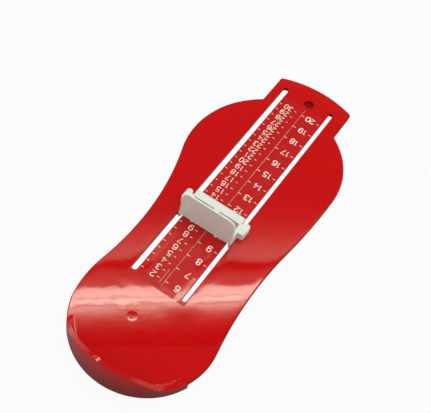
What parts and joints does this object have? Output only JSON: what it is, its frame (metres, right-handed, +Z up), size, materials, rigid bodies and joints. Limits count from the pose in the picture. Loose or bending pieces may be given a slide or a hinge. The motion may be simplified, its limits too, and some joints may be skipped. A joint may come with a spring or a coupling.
{
  "type": "foot measuring device",
  "caption": "Foot-shaped gauge plate with an arched heel stop, two long slots and a sliding toe stop that reads foot length on a centimetre scale.",
  "frame": {"origin": "on the table under the middle of the foot plate's outline, halfway between heel and tab and between its two widest points", "axes": "+Y along the scale from the heel stop to the toe end, +X to the outer side of the sole, +Z up from the table through the plate"},
  "size_m": [0.0874, 0.2252, 0.025],
  "materials": {
    "red_plastic": "glossy moulded, with a matt panel for the scale",
    "white_plastic": "semi-gloss moulded"
  },
  "bodies": {
    "gauge": {"foot_plate": "red_plastic"},
    "toe_stop": {"slider": "white_plastic"}
  },
  "joints": [
    {"name": "slider_travel", "type": "slide", "parent": "gauge", "child": "toe_stop", "axis": [0, 1, 0], "range_m": [-0.0419, 0.1018]}
  ]
}
